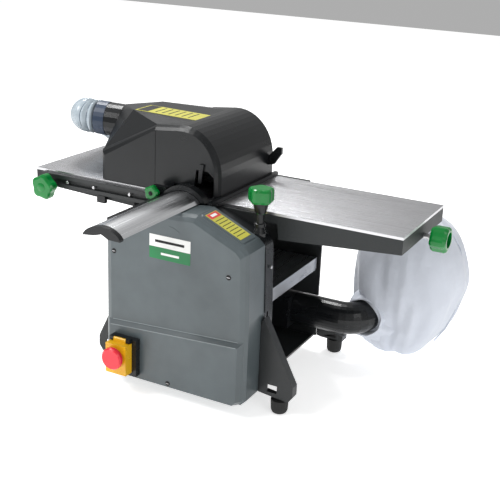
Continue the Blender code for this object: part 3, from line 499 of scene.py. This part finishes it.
def cloth_bag():
    """A closed sagging bag with free folds and a raised seam."""
    rings = []
    for z, left, right in BAG_LEVELS:
        x, half = (left + right) / 2, (right - left) / 2
        depth = BAG_DEPTH * half / BAG_HALF_WIDTH
        ring = []
        for i in range(BAG_SIDES):
            t = 2 * pi * i / BAG_SIDES
            c, w = cos(t), sin(t)
            swell = (abs(c) ** CORNER_POWER + abs(w) ** CORNER_POWER) ** (-1 / CORNER_POWER)
            swell = 1 + (swell - 1) * CORNER_SHARE
            p = Vector((x + half * swell * c, BAG_Y + depth * swell * w, z))
            p.x = min(max(p.x, left), right)
            ring.append(p + Vector((c, w, 0)) * cloth_relief(c, w, z))
        rings.append(ring)
    bag = lofted("cloth_bag", rings, SKINS["cloth"], "chassis", smooth=180)
    rounding = bag.modifiers.new("round", "SUBSURF")
    rounding.levels = 1
    rounding.render_levels = 1
    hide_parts("dust_bag")


def bag_neck():
    """A hemmed band gathered on the elbow, with short folds running into the bag."""
    rings = []
    for y, shift, radius, ripple in NECK_PROFILE:
        ring = []
        for i in range(NECK_SIDES):
            t = 2 * pi * i / NECK_SIDES
            reach = radius + ripple * (sin(9 * t) + 0.6 * sin(14 * t + 1))
            ring.append((NECK_X + shift + reach * cos(t), y, NECK_Z + reach * sin(t)))
        rings.append(ring)
    lofted("bag_neck", rings, SKINS["cloth"], "chassis", closed=True, smooth=60)


def bag_piping():
    """Piping down the bag's right edge."""
    line = [Vector((right - PIPING_INSET, BAG_Y, z)) for z, left, right in BAG_LEVELS[PIPED_LEVELS]]
    rings = sweep_rings(line, lambda i: PIPING_RADIUS, 10)
    lofted("bag_piping", rings, SKINS["cloth"], "chassis")


cloth_bag()
bag_neck()
bag_piping()


# ---------------------------------------------------------------- labels and small parts
UP = (0, 0, 1)
RIGHT = (1, 0, 0)
FRONT = (0, -1, 0)
COVER_FRONT = -0.2050
LOWER_COVER_FRONT = -0.2130
HOOD_FRONT = -0.1085
ROOF_TOP_X, ROOF_TOP_Z = 0.0425, 0.3515
ROOF_FOOT_X, ROOF_FOOT_Z = 0.1300, 0.3130
HOOD_TOP = 0.4750
HOOD_FLAT_START = -0.186
HOOD_FLAT_LENGTH = 0.136
HOOD_FLAT_FALL = 0.0030
LABEL_THICK = 0.0004


def panel(name, corners, normal, thick, skin, body="chassis", smooth=30):
    """A flat plate: its back on the given corners, raised along the normal."""
    out = Vector(normal).normalized() * thick
    base = [Vector(c) for c in corners]
    return lofted(name, [base, [c + out for c in base]], skin, body, smooth=smooth)


def upright(name, x_span, z_span, y, thick, skin, normal=FRONT):
    """A flat rectangle that stands along X and Z."""
    (x0, x1), (z0, z1) = x_span, z_span
    corners = [(x0, y, z0), (x1, y, z0), (x1, y, z1), (x0, y, z1)]
    return panel(name, corners, normal, thick, skin)


def laid(name, surface, normal, x_span, y_span, lift, thick, skin):
    """A flat rectangle on a surface, which gives a point for x, y and a lift."""
    (x0, x1), (y0, y1) = x_span, y_span
    corners = [surface(x0, y0, lift), surface(x1, y0, lift), surface(x1, y1, lift), surface(x0, y1, lift)]
    return panel(name, corners, normal, thick, skin)


def disc(name, centre, axis, stops, skin, body, sides=28):
    """Turned along an axis: stops are (distance, radius)."""
    centre, axis = Vector(centre), Vector(axis).normalized()
    side = axis.orthogonal().normalized()
    up = axis.cross(side)
    rings = [circle(centre + axis * distance, side, up, radius, sides) for distance, radius in stops]
    return lofted(name, rings, skin, body)


def cap(radius, straight, height, top_radius):
    """The stops of a round head with a bevelled rim."""
    return [(0, radius), (straight, radius), (height, top_radius)]


def front_label():
    """Two plain plates, with bars where printing would be."""
    width = (-0.0474, 0.0340)
    upright("label_upper", width, (0.2836, 0.3050), COVER_FRONT, LABEL_THICK, WHITE_LABEL)
    upright("label_lower", width, (0.2620, 0.2834), COVER_FRONT, LABEL_THICK, GREEN_LABEL)
    bar_y = COVER_FRONT - LABEL_THICK
    upright("label_bar_1", (-0.036, 0.022), (0.2920, 0.2965), bar_y, 0.0002, DARK)
    upright("label_bar_2", (-0.024, 0.012), (0.2705, 0.2745), bar_y, 0.0002, WHITE_LABEL)


def on_roof(x, y, lift):
    """A point above the belt cover's sloping roof."""
    slope = (ROOF_TOP_Z - ROOF_FOOT_Z) / (ROOF_TOP_X - ROOF_FOOT_X)
    along = Vector((1, 0, slope)).normalized()
    out = Vector((-along.z, 0, along.x))
    return Vector((x, y, ROOF_TOP_Z + slope * (x - ROOF_TOP_X))) + out * lift


def roof_label():
    """A raised panel on the roof with a plain label of three colours and seven bars."""
    normal = on_roof(0.1, 0, 1) - on_roof(0.1, 0, 0)
    outline = ((0.048, -0.193), (0.124, -0.193), (0.127, -0.190), (0.127, -0.150),
               (0.124, -0.147), (0.048, -0.147), (0.045, -0.150), (0.045, -0.190))
    base = [on_roof(x, y, 0.0) for x, y in outline]
    middle = on_roof(0.086, -0.170, 0.0)
    out = normal.normalized() * 0.0016
    top = [middle + (p - middle) * 0.955 + out for p in base]
    lofted("roof_panel", [base, top], SKINS["grey_plastic"], "chassis", smooth=20)
    for name, x_span, y_span, lift, thick, skin in (
        ("roof_label", (0.0500, 0.1180), (-0.1880, -0.1530), 0.0017, 0.0003, YELLOW_LABEL),
        ("roof_label_head", (0.0510, 0.0625), (-0.1860, -0.1550), 0.0020, 0.0002, RED_LABEL),
        ("roof_label_mark", (0.0540, 0.0590), (-0.1790, -0.1620), 0.0022, 0.0002, WHITE_LABEL),
    ):
        laid(name, on_roof, normal, x_span, y_span, lift, thick, skin)
    for i in range(7):
        x = 0.0680 + i * 0.0068
        laid(f"roof_label_line_{i}", on_roof, normal, (x, x + 0.0014), (-0.1850, -0.1560), 0.0020,
             0.0001, DARK)


def on_hood(x, y, lift):
    """A point above the hood's nearly level top."""
    fall = HOOD_FLAT_FALL * (x - HOOD_FLAT_START) / HOOD_FLAT_LENGTH
    return Vector((x, y, HOOD_TOP - fall + lift))


def hood_label():
    """A plain label with a dark end and six bars."""
    normal = (0.022, 0, 1)
    laid("hood_label", on_hood, normal, (-0.1830, -0.0520), (-0.0490, 0.0050), 0.0001, 0.0003,
         YELLOW_LABEL)
    laid("hood_label_head", on_hood, normal, (-0.1800, -0.1580), (-0.0460, 0.0030), 0.0004, 0.0002,
         DARK)
    for i in range(6):
        x = -0.1460 + i * 0.0140
        laid(f"hood_label_line_{i}", on_hood, normal, (x, x + 0.0030), (-0.0400, -0.0010), 0.0004,
             0.0001, DARK)


def cover_details():
    """Slotted screws, and a small curved mark."""
    places = ((-0.1214, COVER_FRONT, 0.2581), (0.1080, COVER_FRONT, 0.2571),
              (-0.0029, LOWER_COVER_FRONT, 0.0345))
    for i, (x, y, z) in enumerate(places):
        disc(f"cover_screw_{i}", (x, y + 0.0010, z), FRONT, cap(0.0046, 0.0014, 0.0020, 0.0040), DARK,
             "chassis")
        upright(f"cover_screw_slot_{i}", (x - 0.0030, x + 0.0030), (z - 0.0005, z + 0.0005), y - 0.0010,
                0.0003, SKINS["steel"])
    steps = [i / 5 for i in range(6)]
    line = [Vector((-0.0080 + 0.0205 * t, -0.2048, 0.3235 - 0.0080 * t * t)) for t in steps]
    rings = sweep_rings(line, lambda i: 0.0008, 8)
    lofted("turning_mark", rings, SKINS["grey_plastic"], "chassis")


def cover_ridges():
    """Two slim ridges run across the cover, rising to the right, in a lighter grey than the cover: a
    painted highlight where their edges catch the light.
    """
    for name, y, left, right in (("cover_ridge_low", LOWER_COVER_FRONT, 0.1210, 0.1370),
                                 ("cover_ridge_high", -0.2052, 0.1285, 0.1445)):
        ends = [Vector((-0.1240, y, left)), Vector((0.1300, y, right))]
        line = [ends[0].lerp(ends[1], t / 6) for t in range(7)]
        lofted(name, sweep_rings(line, lambda i: 0.0009, 10), RIDGE_HIGHLIGHT, "chassis")


def crank_parts():
    """The black socket under the crank's knob, and a collar on its column."""
    x, y = 0.124, -0.130
    socket = [(0, 0.0090), (0.0010, 0.0098), (0.0150, 0.0132), (0.0184, 0.0132)]
    collar = [(0, 0.0088), (0.0008, 0.0100), (0.0058, 0.0100), (0.0066, 0.0088)]
    black = SKINS["black_plastic"]
    disc("crank_socket", (x, y, 0.3528), UP, socket, black, "crank", 32)
    disc("column_collar", (x, y, 0.3290), UP, collar, black, "chassis", 28)


def hood_stay():
    """A stay behind the hood's nose."""
    outline = ((0.0300, 0.3770), (0.0440, 0.3800), (0.0580, 0.4010), (0.0580, 0.4130),
               (0.0480, 0.4130), (0.0290, 0.3920))
    near = [Vector((x, 0.0800, z)) for x, z in outline]
    far = [p + Vector((0, 0.006, 0)) for p in near]
    lofted("hood_stay", [near, far], SKINS["black_plastic"], "chassis", smooth=25)


def rail_parts():
    """A guide under the left table's rail, and the rail's screws."""
    upright("rail_lug", (-0.2210, -0.2030), (0.3080, 0.3215), -0.1185, 0.0080, SKINS["black_plastic"],
            normal=(0, 1, 0))
    for i, x in enumerate((-0.290, -0.230, -0.150)):
        disc(f"rail_screw_{i}", (x, -0.1160, 0.3337), FRONT, cap(0.0030, 0.0011, 0.0016, 0.0024),
             SKINS["steel"], "chassis", 18)


def side_screws():
    """Screws on the housing's right side."""
    for i, z in enumerate((0.070, 0.260)):
        disc(f"side_screw_{i}", (0.1468, -0.1270, z), RIGHT, cap(0.0034, 0.0022, 0.0030, 0.0026),
             SKINS["steel"], "chassis", 18)


def knob_hubs():
    """Hubs in the faces of the two clamping knobs."""
    disc("fence_knob_hub", (-0.3260, -0.1490, 0.3255), FRONT, cap(0.0085, 0.0010, 0.0018, 0.0070),
         SKINS["green_plastic"], "fence_clamp")
    disc("guard_knob_hub", (-0.0820, -0.1499, 0.3560), FRONT, cap(0.0042, 0.0008, 0.0014, 0.0030),
         DARK, "guard_clamp", 18)


def hood_crease():
    """A crease down the hood's front."""
    upright("hood_crease", (-0.1016, -0.1000), (0.3560, 0.4590), HOOD_FRONT, 0.0006,
            SKINS["black_plastic"])


front_label()
roof_label()
hood_label()
cover_details()
cover_ridges()
crank_parts()
hood_stay()
rail_parts()
side_screws()
knob_hubs()
hood_crease()


# --------------------------------------------------------------------- floor and light
FLOOR_HALF = 6.0
FLOOR_GLOW = 0.62
WORLD_STRENGTH = 0.42
LAMP_AIM = Vector((0, 0, 0.2))
LAMPS = (  # name, place, size, power
    ("key", (-1.3, -1.5, 2.2), 1.0, 42),
    ("fill", (2.3, -1.4, 1.5), 1.2, 12),
    ("top", (-0.9, 0.9, 2.3), 0.7, 46),
)


def pale_floor():
    """A white floor that glows a little."""
    mesh = bpy.data.meshes.new("floor")
    s = FLOOR_HALF
    mesh.from_pydata([(-s, -s, 0), (s, -s, 0), (s, s, 0), (-s, s, 0)], [], [(0, 1, 2, 3)])
    floor = bpy.data.objects.new("floor", mesh)
    bpy.context.scene.collection.objects.link(floor)
    pale = Nodes("floor_pale", (0.95, 0.95, 0.95), 0.6)
    pale.bump(pale.noise(30, 3), 0.0001, 0.1)
    pale.set("Emission Color", (1, 1, 1, 1))
    pale.set("Emission Strength", FLOOR_GLOW)
    mesh.materials.append(pale.material)


def soft_world():
    world = bpy.data.worlds.new("soft_light")
    bpy.context.scene.world = world
    world.use_nodes = True
    background = world.node_tree.nodes["Background"]
    background.inputs["Color"].default_value = (1, 1, 1, 1)
    background.inputs["Strength"].default_value = WORLD_STRENGTH
    bpy.context.scene.view_settings.view_transform = "Standard"


def lamps():
    for name, place, size, power in LAMPS:
        data = bpy.data.lights.new(name, "AREA")
        data.energy = power
        data.size = size
        lamp = bpy.data.objects.new(name, data)
        bpy.context.scene.collection.objects.link(lamp)
        lamp.location = place
        lamp.rotation_euler = (LAMP_AIM - Vector(place)).to_track_quat("-Z", "Y").to_euler()


pale_floor()
soft_world()
lamps()
